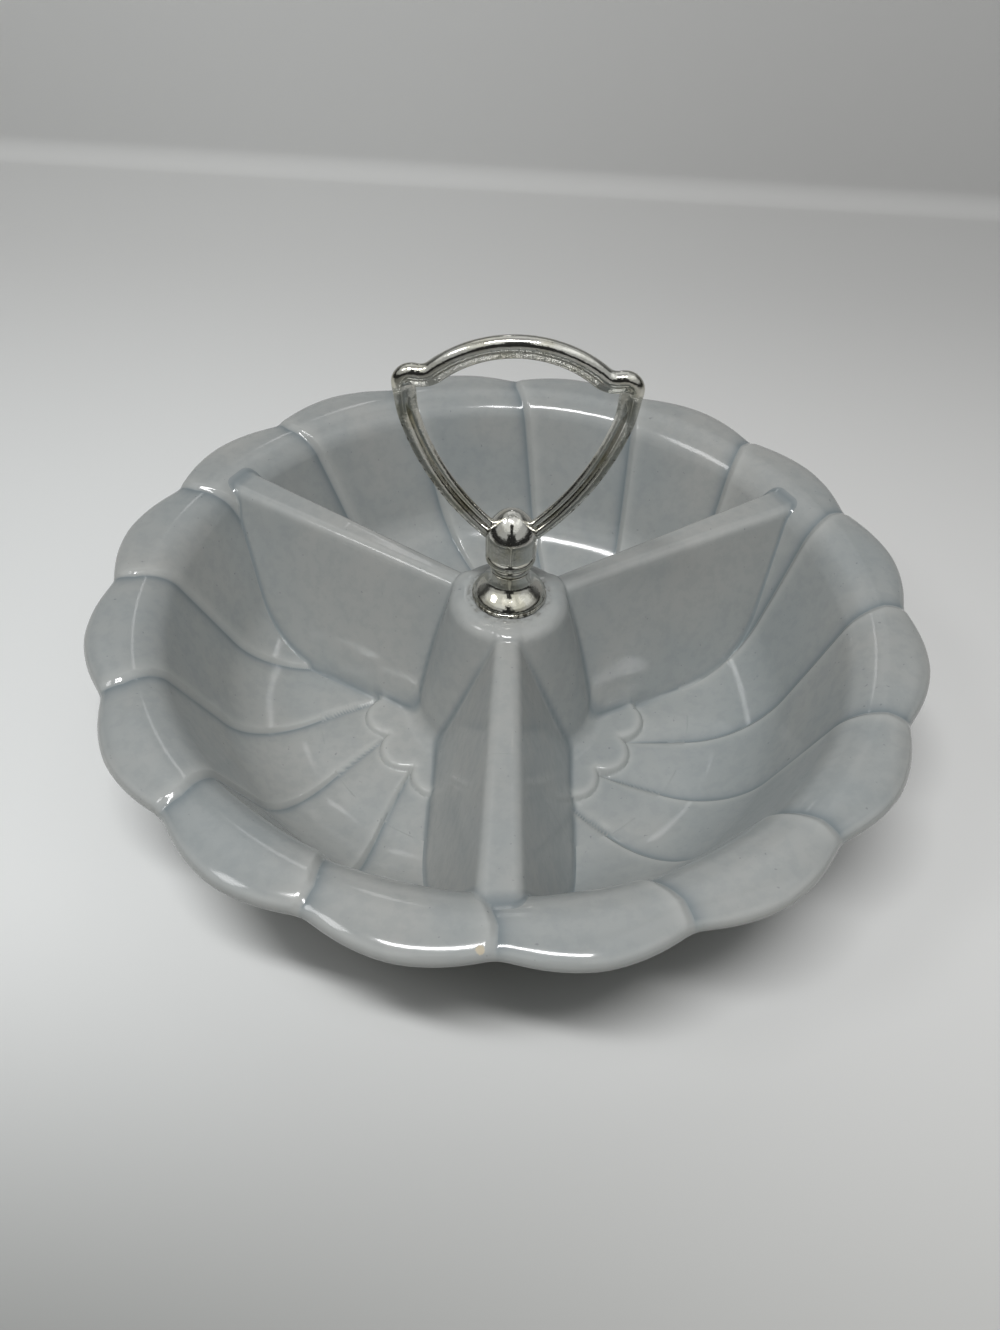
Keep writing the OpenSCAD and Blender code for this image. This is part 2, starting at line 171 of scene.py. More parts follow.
# Painted shadow: a soft darker disc on the sheet under the dish.
from_dish = put(tree, "ShaderNodeVectorMath", operation="LENGTH")
tree.links.new(put(tree, "ShaderNodeTexCoord").outputs["Object"], from_dish.inputs[0])
painted_shadow_under_dish = ramp(tree, from_dish.outputs["Value"], 0.135, 0.095)
paper = mix_colour(tree, painted_shadow_under_dish, paper, (0.45, 0.45, 0.43, 1))
# Painted shade: to rays other than the camera's and glossy ones the sheet is darker, so it throws less
# light into the shade under the dish.
paper_unseen = mix_colour(tree, 1.0, paper, (0.6, 0.6, 0.6, 1), "MULTIPLY")
ray = put(tree, "ShaderNodeLightPath")
seen = maths(tree, "MAXIMUM", ray.outputs["Is Camera Ray"], ray.outputs["Is Glossy Ray"])
tree.links.new(mix_colour(tree, seen, paper_unseen, paper), shader.inputs["Base Color"])
sheet_mesh.materials.append(sheet_paper)

# The light is a long narrow lamp above and a little in front, with small lamps and windows further
# round for highlights, in a dark room that glows a little behind and in front. Glaze and metal also
# mirror the ceiling and the room in front, which is darker in its middle.
world = bpy.data.worlds.new("room")
world.use_nodes = True
bpy.context.scene.world = world
tree = world.node_tree
background = tree.nodes["Background"]
towards = put(tree, "ShaderNodeSeparateXYZ")
tree.links.new(put(tree, "ShaderNodeTexCoord").outputs["Generated"], towards.inputs[0])
towards_x, towards_y, towards_z = towards.outputs


def product(tree, first, *others):
    """Output of several values multiplied together."""
    for other in others:
        first = maths(tree, "MULTIPLY", first, other)
    return first


front_strength = 0.46
behind_strength = 0.20
ceiling_strength = 0.45
least_strength = 0.03
seen_strength = 0.6
aside = maths(tree, "ABSOLUTE", towards_x)
over_patch = ramp(tree, towards_z, 0.80, 0.85)
clear_of_patch = maths(tree, "MAXIMUM", ramp(tree, aside, 0.11, 0.16), over_patch)
clear_of_wide_patch = maths(tree, "MAXIMUM", ramp(tree, aside, 0.28, 0.36), over_patch)
ray = put(tree, "ShaderNodeLightPath")
glossy = ray.outputs["Is Glossy Ray"]
front_glow = product(tree, ramp(tree, towards_y, -0.2, -0.7), ramp(tree, towards_z, 0.42, 0.60))
mirrored_front = product(tree, glossy, ramp(tree, towards_z, 0.0, 0.15),
                         ramp(tree, towards_y, 0.3, -0.1), clear_of_wide_patch)
in_front = product(tree, maths(tree, "MAXIMUM", front_glow, mirrored_front), clear_of_patch)
behind = ramp(tree, towards_y, 0.2, 0.7)
in_front = maths(tree, "MULTIPLY", in_front, front_strength)
glow = maths(tree, "MULTIPLY_ADD", behind, behind_strength, in_front)
above_table = ramp(tree, towards_z, 0.15, 0.3)
below_ceiling = ramp(tree, towards_z, 0.9, 0.8)
glow = product(tree, glow, above_table, below_ceiling)
mirrored_ceiling = product(tree, glossy, ramp(tree, towards_z, 0.48, 0.66), clear_of_patch,
                           ramp(tree, towards_y, 0.68, 0.50))
glow = maths(tree, "MULTIPLY_ADD", mirrored_ceiling, ceiling_strength,
             maths(tree, "ADD", glow, least_strength))
pale_room = maths(tree, "MULTIPLY", ray.outputs["Is Camera Ray"], seen_strength)
tree.links.new(maths(tree, "MAXIMUM", glow, pale_room), background.inputs["Strength"])
background.inputs["Color"].default_value = (0.98, 1.0, 0.99, 1)


def add_lamp(name, place, aim, width, depth, power, colour=(1, 1, 1)):
    """A rectangular area lamp at a place, facing the point aim."""
    data = bpy.data.lights.new(name, "AREA")
    data.shape = "RECTANGLE"
    data.size = width
    data.size_y = depth
    data.energy = power
    data.color = colour
    lamp = bpy.data.objects.new(name, data)
    direction = Vector(aim) - Vector(place)
    lamp.matrix_world = (Matrix.Translation(place)
                         @ direction.to_track_quat("-Z", "Y").to_matrix().to_4x4())
    bpy.context.scene.collection.objects.link(lamp)
    return lamp


dish_middle = (0, 0, 0.06)
add_lamp("long_lamp", (-0.09, -0.36, 1.03), dish_middle, 0.56, 0.08, 6.4)
add_lamp("lamp_in_front", (0.0, -0.64, 1.28), dish_middle, 0.90, 0.45, 0.5)
add_lamp("ceiling_behind", (-0.10, 0.75, 1.35), dish_middle, 1.20, 0.80, 0.9)
add_lamp("ceiling_right", (0.60, -0.2, 1.40), dish_middle, 0.80, 0.80, 0.75)
add_lamp("window_left", (-0.80, -0.29, 1.08), dish_middle, 0.25, 0.25, 1.3)
add_lamp("window_behind", (-0.12, 0.96, 0.85), dish_middle, 0.08, 0.20, 0.11)

# The bowl is slip-cast ceramic under a pale blue-grey glaze. Sixteen petals run from the scalloped
# rim over the band and down the wall to the floor, each lapping over the next, and turn back as
# they go, all in one piece with the foot ring.
millimetre = 0.001
crown_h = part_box("dish")[1].z / millimetre
rim_drop = 1.5
rim_h = crown_h - rim_drop
tip_r = 140.5
notch_r = 136.0
notch_soft_share = 0.05
wall_t = 6.0
lip_r = 3.0
band_in_r = 128.0
roll_r = 15.0
floor_r = 71.5
floor_curve_r = 32.0
floor_h = 10.0
under_h = floor_h - wall_t
petals = 16
petal_turn = 2 * math.pi / petals
swirl = math.tan(math.radians(20))
petal_lap = 1.3
lap_fall_share = 0.06
lap_soft_share = 0.015
lap_rise_share = 0.28
lap_crest_share = 0.9
wall_run = band_in_r - floor_r
wall_rise = crown_h - floor_h
curves_r = floor_curve_r + roll_r
wall_straight = math.sqrt(wall_run ** 2 + wall_rise ** 2 - 2 * wall_rise * curves_r)
wall_lean = math.atan2(wall_rise - curves_r, wall_run) + math.atan2(curves_r, wall_straight)


def turned_back(r):
    """Angle by which a petal line has turned back at radius r: a logarithmic spiral."""
    return swirl * np.log(band_in_r / np.minimum(r, band_in_r))


def lap_depth(place):
    """Depth of the surface at a place across a petal: after a line it rises back exponentially
    from a rounded bottom, and before the next it falls along an S, so the petal's edge is round."""
    soft = np.hypot(place, lap_soft_share) - lap_soft_share
    rise = (np.exp(-soft / lap_rise_share) - math.exp(-1 / lap_rise_share))
    rise = rise / (1 - math.exp(-1 / lap_rise_share))
    into = np.clip(1 - (1 - place) / lap_fall_share, 0, 1)
    return petal_lap * np.maximum(rise, into ** 2 * (3 - 2 * into))


def lap_crest(place):
    """How near a place is to the rounded edge of its petal, from 0 to 1: a bell curve."""
    return np.exp(-((place - 1 + lap_fall_share * lap_crest_share) / lap_fall_share) ** 2)


def rim_radius(place):
    """Radius of the lip across a petal: a parabola between notches that are rounded."""
    near = np.minimum(place, 1 - place)
    soft = np.sqrt(near ** 2 + notch_soft_share ** 2) - notch_soft_share
    return notch_r + (tip_r - notch_r) * (1 - (1 - 2 * soft) ** 2)


def arc(centre_r, centre_z, radius, start, end, count):
    """Points along an arc in side view, with angles in degrees, as [point, (r, z)]."""
    angle = np.radians(np.linspace(start, end, count))
    return np.stack([centre_r + radius * np.cos(angle), centre_z + radius * np.sin(angle)], 1)


def grid_faces(rows, columns, rows_close):
    """Quads between neighbours on a grid whose columns close on themselves."""
    row, column = np.meshgrid(np.arange(rows if rows_close else rows - 1), np.arange(columns),
                              indexing="ij")
    next_row, next_column = (row + 1) % rows, (column + 1) % columns
    corners = [row * columns + column, row * columns + next_column,
               next_row * columns + next_column, next_row * columns + column]
    return np.stack(corners, -1).reshape(-1, 4)


def add_skin(name, points, material, node, rows_close=True, marks=None):
    """A closed piece through a grid of points in millimetres, [row, column, (x, y, z)], that rides
    on the root and stands for a CAD node. Open ends of the rows get a cap. marks are values on the
    points that its material reads."""
    rows, columns = points.shape[:2]
    flat = points.reshape(-1, 3) * millimetre
    faces = grid_faces(rows, columns, rows_close)
    triangles = np.concatenate([faces[:, [0, 1, 2]], faces[:, [0, 2, 3]]])
    a, b, c = (flat[triangles[:, k]] for k in range(3))
    inside_out = np.einsum("ij,ij->i", a, np.cross(b, c)).sum() < 0
    polygons = faces.tolist()
    if not rows_close:
        first = list(range(columns))
        polygons += [first[::-1], [(rows - 1) * columns + k for k in first]]
    if inside_out:
        polygons = [p[::-1] for p in polygons]
    mesh = bpy.data.meshes.new(name)
    mesh.from_pydata(flat, [], polygons)
    for mark, values in (marks or {}).items():
        layer = mesh.attributes.new(mark, "FLOAT", "POINT")
        layer.data.foreach_set("value", np.ascontiguousarray(values, np.float32).ravel())
    mesh.shade_smooth()
    mesh.set_sharp_from_angle(angle=math.radians(50))
    mesh.materials.append(material)
    piece = bpy.data.objects.new(name, mesh)
    bpy.context.scene.collection.objects.link(piece)
    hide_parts(node)
    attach(piece, "root")
    return piece


def attribute(tree, name):
    """A value that a piece carries on its points."""
    return put(tree, "ShaderNodeAttribute", attribute_name=name).outputs["Fac"]


def chip_mask(tree, centre, radius):
    """1 inside a small ragged spot where the glaze is chipped off, 0 outside."""
    place = put(tree, "ShaderNodeTexCoord")
    apart = put(tree, "ShaderNodeVectorMath", operation="DISTANCE")
    apart.inputs[1].default_value = centre
    tree.links.new(place.outputs["Object"], apart.inputs[0])
    crumbs = patches(tree, "Noise", Scale=900)
    ragged = maths(tree, "MULTIPLY_ADD", crumbs, radius, apart.outputs["Value"])
    return ramp(tree, ragged, radius * 1.35, radius * 1.05)


def new_group(name, given, gives):
    """A shader node group with number inputs and their plain values, given, and outputs, gives."""
    group = bpy.data.node_groups.new(name, "ShaderNodeTree")
    for label, value in given.items():
        socket = group.interface.new_socket(label, in_out="INPUT", socket_type="NodeSocketFloat")
        socket.default_value = value
    for label, kind in gives.items():
        group.interface.new_socket(label, in_out="OUTPUT", socket_type=kind)
    return group, put(group, "NodeGroupInput"), put(group, "NodeGroupOutput")


def cloudy(group, given):
    """A noise node in a group, on object coordinates, that takes Scale and Detail from its inputs."""
    place = put(group, "ShaderNodeTexCoord")
    cells = put(group, "ShaderNodeTexNoise", Roughness=0.6)
    group.links.new(place.outputs["Object"], cells.inputs["Vector"])
    group.links.new(given.outputs["Scale"], cells.inputs["Scale"])
    group.links.new(given.outputs["Detail"], cells.inputs["Detail"])
    return cells.outputs["Fac"]


patchy, given, gives = new_group(
    "patchy",
    {"Scale": 100, "Detail": 3, "From": 0.4, "To": 0.6, "Amount": 1},
    {"Mask": "NodeSocketFloat", "Noise": "NodeSocketFloat"})
cloud = cloudy(patchy, given)
patchy.links.new(cloud, gives.inputs["Noise"])
fade = put(patchy, "ShaderNodeMapRange", interpolation_type="SMOOTHSTEP")
patchy.links.new(cloud, fade.inputs["Value"])
patchy.links.new(given.outputs["From"], fade.inputs["From Min"])
patchy.links.new(given.outputs["To"], fade.inputs["From Max"])
patchy.links.new(given.outputs["Amount"], fade.inputs["To Max"])
patchy.links.new(fade.outputs["Result"], gives.inputs["Mask"])

uneven, given, gives = new_group(
    "uneven",
    {"Scale": 100, "Detail": 3, "Strength": 0.3, "Height": 0.0003},
    {"Normal": "NodeSocketVector"})
bump = put(uneven, "ShaderNodeBump")
uneven.links.new(cloudy(uneven, given), bump.inputs["Height"])
uneven.links.new(given.outputs["Strength"], bump.inputs["Strength"])
uneven.links.new(given.outputs["Height"], bump.inputs["Distance"])
uneven.links.new(bump.outputs["Normal"], gives.inputs["Normal"])


def patches(tree, output="Mask", **values):
    """Mask or Noise of the patchy group, placed in a material with its own values."""
    node = put(tree, "ShaderNodeGroup", node_tree=patchy)
    for name, value in values.items():
        node.inputs[name].default_value = value
    return node.outputs[output]


def roughen(tree, shader, **values):
    """Joins the uneven group, with its own values, to the Normal of a material's shader."""
    node = put(tree, "ShaderNodeGroup", node_tree=uneven)
    for name, value in values.items():
        node.inputs[name].default_value = value
    tree.links.new(node.outputs["Normal"], shader.inputs["Normal"])


glaze, tree, shader = new_material("blue_grey_glaze")
glaze_pale = (0.425, 0.432, 0.418, 1)
glaze_cool = (0.352, 0.378, 0.380, 1)
glaze_pooled = (0.195, 0.232, 0.250, 1)
glaze_thin = (0.53, 0.54, 0.52, 1)
glaze_speck = (0.14, 0.15, 0.16, 1)
dark_ring_colour = (0.11, 0.10, 0.08, 1)
bisque = (0.62, 0.55, 0.42, 1)
clouds = patches(tree, Scale=17, Detail=3, From=0.30, To=0.72)
colour = mix_colour(tree, clouds, glaze_pale, glaze_cool)
mottle = patches(tree, Scale=230, Detail=4, From=0.42, To=0.64, Amount=0.13)
colour = mix_colour(tree, mottle, colour, glaze_pooled)
pooled = maths(tree, "MULTIPLY", attribute(tree, "pooled"), 0.85)
colour = mix_colour(tree, pooled, colour, glaze_pooled)
thin = maths(tree, "MULTIPLY", attribute(tree, "thin"), 0.6)
colour = mix_colour(tree, thin, colour, glaze_thin)
specks = patches(tree, Scale=560, Detail=1, From=0.74, To=0.80, Amount=0.4)
colour = mix_colour(tree, specks, colour, glaze_speck)
# A darker, patchy ring lies on the post's top round the edge of the base.
dark_ring_mask = patches(tree, Scale=420, Detail=4, From=0.40, To=0.62, Amount=0.75)
dark_ring_mask = maths(tree, "MULTIPLY", attribute(tree, "dark_ring"), dark_ring_mask)
colour = mix_colour(tree, dark_ring_mask, colour, dark_ring_colour)
unglazed = attribute(tree, "unglazed")
colour = mix_colour(tree, unglazed, colour, bisque)
front_chip = chip_mask(tree, (-0.0045, -0.1350, 0.0668), 0.0016)
side_chip = chip_mask(tree, (0.1345, -0.0300, 0.0655), 0.0013)
chips = maths(tree, "MAXIMUM", front_chip, side_chip)
colour = mix_colour(tree, chips, colour, bisque)
tree.links.new(colour, shader.inputs["Base Color"])
dull = maths(tree, "MAXIMUM", unglazed, chips)
gloss = maths(tree, "MULTIPLY_ADD", patches(tree, "Noise", Scale=60), 0.10, 0.06)
tree.links.new(maths(tree, "MULTIPLY_ADD", dull, 0.7, gloss), shader.inputs["Roughness"])
shader.inputs["IOR"].default_value = 1.5
roughen(tree, shader, Scale=90, Detail=2, Strength=0.15, Height=0.0004)

after_line_share = 0.08
before_line_share = lap_fall_share * 1.3
closer = 1.4
place = np.concatenate([
    np.linspace(0, after_line_share, 7)[:-1],
    np.linspace(after_line_share, 1 - before_line_share, 20)[:-1],
    1 - before_line_share * np.linspace(1, 0, 11)[:-1] ** closer])
inside_start = 69.0
seam_in = 0.8
seam_rise = 1.0
seam_drop = 1.2
foot_in_r = floor_r - 0.5
foot_w = 4.0
foot_r = foot_in_r + foot_w
foot_spread = 1.5
foot_edge_r = 0.8
foot_corner = 0.6
foot_draft = 0.1
lean = math.degrees(wall_lean)


def inner_line():
    """Rows up the inside, from the floor to the rim band, as [row, (r, z)], and at each row the
    direction square to the line that points into the bowl."""
    floor_rows = np.stack([np.linspace(inside_start, floor_r, 4)[:-1], np.full(3, floor_h)], 1)
    curve = arc(floor_r, floor_h + floor_curve_r, floor_curve_r, -90, lean - 90, 26)
    roll = arc(band_in_r, crown_h - roll_r, roll_r, lean + 90, 90, 22)
    rows = np.concatenate([floor_rows, curve, np.linspace(curve[-1], roll[0], 9)[1:-1], roll])
    along = np.gradient(rows, axis=0)
    along /= np.linalg.norm(along, axis=1)[:, None]
    return rows, np.stack([-along[:, 1], along[:, 0]], 1)


rows_in, normal_in = inner_line()
depth = lap_depth(place)
edge_r = rim_radius(place)
lip_start = 62.0
lip_sink_share = 0.6
lip_thin_from = 0.4
pooled_power = 6
crest_thin = 0.7
lip_rows = 17
band_rows = 8
inner = rows_in[:, None, :] - normal_in[:, None, :] * depth[None, :, None]
lip_angle = np.radians(np.linspace(lip_start, -90, lip_rows))[:, None]
lip_sink = depth[None, :] * (0.5 + 0.5 * np.sin(lip_angle)) * lip_sink_share
lip = np.stack([edge_r[None, :] - lip_r + lip_r * np.cos(lip_angle),
                rim_h - lip_r - lip_sink + lip_r * np.sin(lip_angle)], -1)
step = np.linspace(0, 1, band_rows + 2)[1:-1, None]
start, end = inner[-1][None], lip[0][None]
reach = end[..., 0] - start[..., 0]
tilt = -math.tan(math.radians(90 - lip_start))
from_start = 2 * step ** 3 - 3 * step ** 2 + 1
band_z = (from_start * start[..., 1] + (1 - from_start) * end[..., 1]
          + (step ** 3 - step ** 2) * tilt * reach)
band = np.stack([start[..., 0] + reach * step, band_z], -1)
out_roll = arc(band_in_r, crown_h - roll_r, roll_r - wall_t, 90, lean + 90, 10)
out_curve_r = floor_curve_r + wall_t
meets_foot = math.degrees(math.asin((foot_r + foot_spread - floor_r) / out_curve_r)) - 90
out_curve = arc(floor_r, floor_h + floor_curve_r, out_curve_r, lean - 90, meets_foot, 14)
foot_line = np.concatenate([
    np.linspace((foot_r + foot_spread, out_curve[-1][1] - 2 * foot_draft),
                (foot_r + foot_draft, foot_edge_r), 4),
    arc(foot_r - foot_edge_r, foot_edge_r, foot_edge_r, 0, -90, 5),
    arc(foot_in_r + foot_edge_r, foot_edge_r, foot_edge_r, -90, -180, 5),
    np.linspace((foot_in_r - foot_draft, foot_edge_r),
                (foot_in_r - foot_spread + foot_corner, under_h - foot_corner), 4)[1:],
    [(foot_in_r - foot_spread, under_h), (inside_start, under_h),
     (inside_start - seam_in, under_h + seam_rise), (inside_start - seam_in, floor_h - seam_drop)]])
out_wall = np.linspace(out_roll[-1], out_curve[0], 8)[1:-1]
outer = np.concatenate([out_roll, out_wall, out_curve, foot_line])
outer = np.repeat(outer[:, None, :], len(place), 1)
section = np.concatenate([inner, band, lip, outer])
row_r, row_z = section[..., 0], section[..., 1]
lip_first = len(inner) + band_rows
pooled = np.broadcast_to((depth / petal_lap) ** pooled_power, row_r.shape).copy()
pooled[lip_first + lip_rows // 2:] = 0
thin = np.zeros(row_r.shape)
thin[:lip_first] = lap_crest(place) * crest_thin
lip_thin = np.sin(np.linspace(lip_thin_from, math.pi, lip_rows))
thin[lip_first:lip_first + lip_rows] = lip_thin[:, None]
unglazed = np.zeros(row_r.shape)
unglazed[(row_z < foot_edge_r) & (row_r < foot_r + foot_spread)] = 1
turns = np.arange(petals)[None, :, None]
bearing = (turns + place[None, None, :]) * petal_turn - math.pi / 2 - turned_back(row_r)[:, None, :]


def all_round(values):
    """The same values for each petal, as [row, column round the dish]."""
    return np.repeat(values[:, None, :], petals, 1).reshape(len(values), -1)


round_r, round_z = all_round(row_r), all_round(row_z)
bearing = bearing.reshape(len(row_r), -1)
bowl_points = np.stack([round_r * np.cos(bearing), round_r * np.sin(bearing), round_z], -1)
add_skin("dish_bowl", bowl_points, glaze, "dish", marks={
    "pooled": all_round(pooled), "thin": all_round(thin), "unglazed": all_round(unglazed)})

# The dividers and the post are cast with the bowl. The glaze rounds every corner between them, and
# a raised flower with a lobe to each petal lies round the foot of the post.
post_h = 65.5
post_top_r = 21.0
post_foot_r = 32.0
post_foot_fall = 3.0
post_shoulder_r = 6.0
post_sweep_r = 7.0
hole_r = 3.5
rosette_r = 47.0
rosette_tip_r = 52.5
rosette_h = 2.2
rosette_round = 2.4
divider_in_r = post_top_r * 0.8
ridge_in_h = post_h - 2.2
ridge_out_h = crown_h - 2.5
ridge_in_w = 9.5
ridge_out_w = 15.0
ridge_edge_r = 4.2
divider_foot_half = 25.0
divider_end_r = 119.0
divider_bearings = np.radians([-90, 30, 150])
corner_fill = 2.2
post_corner_fill = 6.0
crease_reach = 4.5
flower_fill = 1.2
flower_fall = 4.0
sink_in_rate = 0.06
sink_out_rate = 0.10
fill_starts_r = 34.0
fill_narrows_r = 44.0
crease_from_r = 19.0
crease_full_r = 27.0
shoulder_worn_in = 1.5
shoulder_worn_w = 2.5
shoulder_thin = 0.4
edge_worn_at = 0.6
edge_worn_w = 0.45
edge_thin = 0.4
flower_pooled = 0.8
dark_ring_r = 13.4
dark_ring_w = 0.9
seam_dip = 0.05
skirt_depth = 0.8


def smooth_max(a, b, reach):
    """The larger of two heights, with the corner between them filled where they differ by less
    than reach. Also gives how near they are, from 0 to 1."""
    near = np.maximum(reach - np.abs(a - b), 0) / reach
    return np.maximum(a, b) + near ** 2 * reach / 4, near


def bowl_height(r, depth):
    """Height of the inside of the bowl at radius r, pushed into the wall by depth: floor, arc,
    straight, roll and band."""
    curve, roll = floor_curve_r + depth, roll_r - depth
    curve_end = floor_r + curve * math.sin(wall_lean)
    roll_start = band_in_r - roll * math.sin(wall_lean)
    on_curve = floor_h + floor_curve_r - np.sqrt(np.maximum(curve ** 2 - (r - floor_r) ** 2, 0))
    curve_end_h = floor_h + floor_curve_r - curve * math.cos(wall_lean)
    on_wall = curve_end_h + (r - curve_end) * math.tan(wall_lean)
    on_roll = crown_h - roll_r + np.sqrt(np.maximum(roll ** 2 - (band_in_r - r) ** 2, 0))
    return np.select([r < floor_r, r < curve_end, r < roll_start, r < band_in_r],
                     [floor_h - depth, on_curve, on_wall, on_roll], crown_h - depth)


def rosette_height(place, r):
    """Height of the raised flower: a disc with a round lobe in each petal, its edge rounded as a
    quarter of an ellipse and falling away outside. Also gives how near the edge is, from 0 to 1."""
    chord = rosette_r * math.sin(petal_turn / 2)
    out = rosette_tip_r - rosette_r * math.cos(petal_turn / 2)
    lobe_r = (chord ** 2 + out ** 2) / 2 / out
    lobe_at = rosette_tip_r - lobe_r
    aside = (place - 0.5) * petal_turn
    from_lobe = np.hypot(r * np.cos(aside) - lobe_at, r * np.sin(aside)) - lobe_r
    outside = np.minimum(from_lobe, r - rosette_r)
    into = np.clip(-outside / rosette_round, 0, 1)
    top = floor_h + rosette_h * np.sqrt(1 - (1 - into) ** 2)
    near = np.exp(-((outside + rosette_round / 3) / rosette_round) ** 2)
    return top - np.maximum(outside, 0) * flower_fall, near


def post_height(r):
    """Height of the post at radius r: flat top, round shoulder, straight side, sweep to the floor."""
    foot_h = floor_h + rosette_h
    side_top, side_foot = post_h - post_shoulder_r, foot_h + post_sweep_r
    on_shoulder = np.maximum(r - post_top_r + post_shoulder_r, 0)
    shoulder = side_top + np.sqrt(np.maximum(post_shoulder_r ** 2 - on_shoulder ** 2, 0))
    side = side_top - (r - post_top_r) / (post_foot_r - post_top_r) * (side_top - side_foot)
    sweep = foot_h + post_sweep_r - np.sqrt(np.maximum(
        post_sweep_r ** 2 - (post_foot_r + post_sweep_r - r) ** 2, 0))
    return np.select([r < post_top_r, r < post_foot_r, r < post_foot_r + post_sweep_r],
                     [shoulder, side, sweep], foot_h - (r - post_foot_r - post_sweep_r) * post_foot_fall)


def divider_height(along, across):
    """Height of a divider at distances along it and across it: a flat ridge, round edges and
    drafted sides. The ridge sinks away inside the post and under the rim. Also gives how near its
    edges are, from 0 to 1, where the glaze is thin."""
    out = np.clip((along - divider_in_r) / (band_in_r - divider_in_r), 0, 1)
    half = (ridge_in_w + (ridge_out_w - ridge_in_w) * out) / 2
    top = ridge_in_h + (ridge_out_h - ridge_in_h) * out
    lean_out = np.arctan2(divider_foot_half - half, top - floor_h)
    past = np.abs(across) - (half - ridge_edge_r)
    edge_end = ridge_edge_r * np.cos(lean_out)
    edge_drop = ridge_edge_r - np.sqrt(np.maximum(ridge_edge_r ** 2 - np.clip(past, 0, edge_end) ** 2, 0))
    side_h = top - ridge_edge_r * (1 - np.sin(lean_out)) - floor_h
    side_w = divider_foot_half - (half - ridge_edge_r + edge_end)
    drop = edge_drop + np.maximum(past - edge_end, 0) * side_h / side_w
    sink_in = np.maximum(divider_in_r - along, 0) ** 2 * sink_in_rate
    sink_out = np.maximum(np.hypot(along, across) - divider_end_r, 0) ** 2 * sink_out_rate
    worn = np.exp(-((past - edge_end * edge_worn_at) / (edge_end * edge_worn_w)) ** 2)
    worn = worn * (along > post_top_r * 0.6)
    return top - drop - sink_in - sink_out, worn


def ceramic_top(x, y):
    """Height of everything cast in the bowl at points of the plan, how pooled and how thin the
    glaze is there, how much of the surface isn't the bare bowl's, and a darker ring round the
    base, a bell curve across its edge."""
    r = np.hypot(x, y)
    turns = (np.arctan2(y, x) + math.pi / 2 + turned_back(r)) / petal_turn
    place = turns % 1.0
    depth = lap_depth(place)
    height = bowl_height(r, depth)
    pooled = (depth / petal_lap) ** pooled_power
    thin = lap_crest(place) * crest_thin
    notch_turn = (np.arctan2(y, x) + math.pi / 2 + turned_back(rosette_r)) / petal_turn
    flower, flower_edge = rosette_height(notch_turn % 1.0, r)
    inside = np.clip(flower - height, 0, 1)
    pooled = pooled * (1 - inside)
    thin = np.maximum(thin * (1 - inside), flower_edge)
    own = np.zeros(r.shape)
    reach = np.interp(r, [fill_starts_r, fill_narrows_r], [post_corner_fill, corner_fill])
    height, fill = smooth_max(height, flower, flower_fill)
    pooled = np.maximum(pooled, fill * flower_pooled)
    height = np.maximum(height, post_height(r))
    dark_ring = np.exp(-((r - dark_ring_r) / dark_ring_w) ** 2)
    shoulder = np.exp(-((r - post_top_r + shoulder_worn_in) / shoulder_worn_w) ** 2)
    thin = np.maximum(thin, shoulder * shoulder_thin)
    for bearing in divider_bearings:
        along = x * math.cos(bearing) + y * math.sin(bearing)
        across = -x * math.sin(bearing) + y * math.cos(bearing)
        ridge, worn = divider_height(along, across)
        ridge = np.where(along > 0, ridge, -100.0)
        above = np.clip(ridge - height, 0, 1)
        thin = thin * (1 - above) + worn * edge_thin * above
        crease = np.clip(1 - np.abs(ridge - height) / np.maximum(reach, crease_reach), 0, 1)
        height, fill = smooth_max(height, ridge, reach)
        crease = crease * np.interp(r, [crease_from_r, crease_full_r], [0, 1])
        pooled = np.maximum(pooled * (1 - above), crease)
        own = np.maximum(own, np.maximum(above, np.clip(fill * 5, 0, 1)))
    return height, pooled, thin, own, dark_ring


def fan(r, stops, stop_caps, counts):
    """Bearings of the columns of a half fan at each radius: distances across from a divider's
    middle, stops, over the radius give the sines of angles. Each angle is held under its cap in
    degrees, so that they stay in order, and columns are evenly spaced between them."""
    angles = [np.zeros(len(r))]
    for across, cap in zip(stops, stop_caps):
        angle = np.arcsin(np.minimum(across / r, 0.98))
        angles.append(np.minimum(angle, math.radians(cap)))
    angles.append(np.full(len(r), math.pi / 3))
    columns = [np.linspace(a, b, n + 1)[:-1] for a, b, n in zip(angles, angles[1:], counts)]
    return np.concatenate(columns).T


fan_counts = [3, 8, 12, 9, 34]


def whole_fan(rows, stops, stop_caps):
    """Bearings of the columns all round the dish at each row's radius, from half fans either side
    of each divider."""
    half = fan(rows, stops, stop_caps, fan_counts)
    half = np.concatenate([half, np.full((len(rows), 1), math.pi / 3)], 1)
    sector = np.concatenate([-half[:, :0:-1], half[:, :-1]], 1)
    return np.concatenate([sector + bearing for bearing in divider_bearings], 1)


def ridge_flat_half(r):
    """Half width of the flat of a ridge at radius r: even from the post to the band."""
    return np.interp(r, [divider_in_r, band_in_r],
                     [ridge_in_w / 2 - ridge_edge_r, ridge_out_w / 2 - ridge_edge_r])


